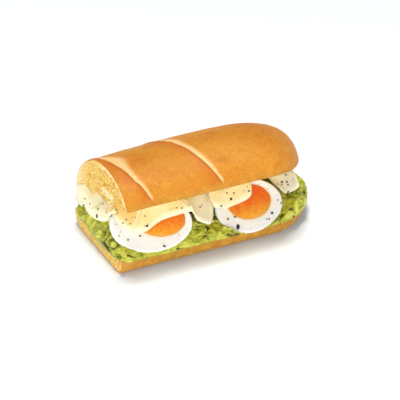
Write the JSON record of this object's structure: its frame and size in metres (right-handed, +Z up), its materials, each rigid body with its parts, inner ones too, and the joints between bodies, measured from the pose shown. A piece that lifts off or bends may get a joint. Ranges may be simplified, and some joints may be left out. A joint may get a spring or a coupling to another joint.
{
  "type": "submarine sandwich",
  "caption": "Half of a long slashed roll, cut across at one end and filled with smashed avocado, boiled egg halves and peppered cheese slices.",
  "frame": {"origin": "on the base bread's flat underside, half way along the roll", "axes": "+X along the roll from its cut end to its rounded end, +Y from the open front to the hinge side, +Z up"},
  "size_m": [0.1722, 0.0972, 0.0809],
  "materials": {
    "bread": "golden baked crust, pale yellow open crumb on cut faces",
    "avocado": "moist coarse green mash",
    "egg_white": "smooth moist boiled white",
    "egg_yolk": "moist orange yolk, grainy at its rim",
    "cheese": "satin pale cheese with cracked pepper"
  },
  "bodies": {
    "root": {"bread_base": "bread", "avocado": "avocado", "egg_yolk_1": "egg_yolk", "egg_white_1": "egg_white", "egg_yolk_2": "egg_yolk", "egg_white_2": "egg_white", "egg_white_3": "egg_white", "cheese_slice_1": "cheese", "cheese_slice_2": "cheese", "cheese_slice_3": "cheese", "cheese_slice_4": "cheese", "cheese_slice_5": "cheese", "bread_lid": "bread"}
  },
  "joints": []
}
